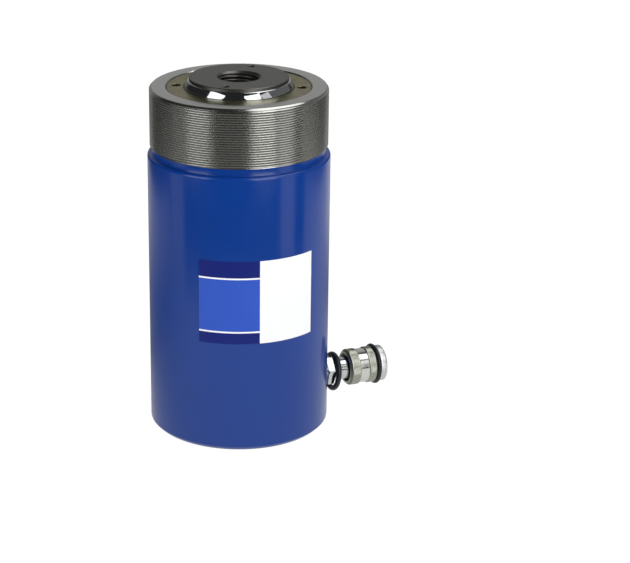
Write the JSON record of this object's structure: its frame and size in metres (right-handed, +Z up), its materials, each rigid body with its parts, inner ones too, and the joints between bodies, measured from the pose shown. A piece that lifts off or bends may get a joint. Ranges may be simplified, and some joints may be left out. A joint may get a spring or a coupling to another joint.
{
  "type": "hollow plunger cylinder",
  "caption": "Single-acting spring-return hydraulic cylinder with a centre hole, threaded collar, threaded plunger insert and a quick coupler with dust cap.",
  "frame": {"origin": "centre of the centre hole in the plane of the base", "axes": "+Z up the centre hole towards the plunger's insert, +X out of the oil port"},
  "size_m": [0.2247, 0.163, 0.3245],
  "materials": {
    "blue_enamel": "gloss enamel",
    "machined_steel": "turned",
    "hard_chrome": "ground and polished",
    "zinc_plate": "yellow passivated zinc, satin",
    "black_oxide": "blackened, satin",
    "bronze": "turned",
    "spring_steel": "oiled wire",
    "bright_zinc": "bright plated",
    "nickel_plate": "satin nickel",
    "cast_aluminium": "bright cast",
    "black_rubber": "moulded",
    "white_ptfe": "turned",
    "amber_polyurethane": "moulded",
    "phenolic": "woven filler"
  },
  "bodies": {
    "cylinder": {"cylinder_body": "blue_enamel", "centre_tube": "machined_steel", "centre_tube_oring": "black_rubber", "centre_tube_backup": "white_ptfe", "gland_nut": "zinc_plate", "gland_lock_screw": "black_oxide", "rod_bearing": "bronze", "rod_wiper": "black_rubber", "return_spring": "spring_steel", "coupler_body": "bright_zinc", "coupler_snap_ring": "spring_steel", "socket_seal": "black_rubber", "poppet_stop": "machined_steel"},
    "plunger": {"plunger": "hard_chrome", "piston": "machined_steel", "piston_lock_screw": "black_oxide", "saddle_insert": "black_oxide", "piston_seal": "amber_polyurethane", "piston_backup": "white_ptfe", "piston_wear_ring": "phenolic", "piston_inner_seal": "amber_polyurethane", "piston_inner_backup": "white_ptfe", "piston_inner_wear_ring": "phenolic"},
    "sleeve": {"coupler_sleeve": "nickel_plate"},
    "poppet": {"coupler_poppet": "bright_zinc", "poppet_seal": "black_rubber", "poppet_spring": "spring_steel"},
    "dust_cap": {"dust_cap": "cast_aluminium", "dust_cap_ring": "black_rubber"},
    "tether_ring": {"tether_ring": "black_rubber"}
  },
  "joints": [
    {"name": "plunger_extend", "type": "slide", "parent": "cylinder", "child": "plunger", "axis": [0, 0, 1], "range_m": [0, 0.1524], "stiffness_N_per_m": 8000, "springref_m": -0.025, "deforming": ["return_spring"]},
    {"name": "sleeve_spin", "type": "hinge", "parent": "cylinder", "child": "sleeve", "pos_m": [0.12, 0, 0.03265], "axis": [1, 0, 0], "continuous": true},
    {"name": "poppet_push", "type": "slide", "parent": "cylinder", "child": "poppet", "axis": [-1, 0, 0], "range_m": [0, 0.004], "stiffness_N_per_m": 1200, "springref_m": -0.003},
    {"name": "dust_cap_pull", "type": "slide", "parent": "cylinder", "child": "dust_cap", "axis": [1, 0, 0], "range_m": [0, 0.04]},
    {"name": "tether_ring_swing", "type": "hinge", "parent": "cylinder", "child": "tether_ring", "pos_m": [0.0952, 0, 0.03265], "axis": [1, 0, 0], "continuous": true}
  ]
}
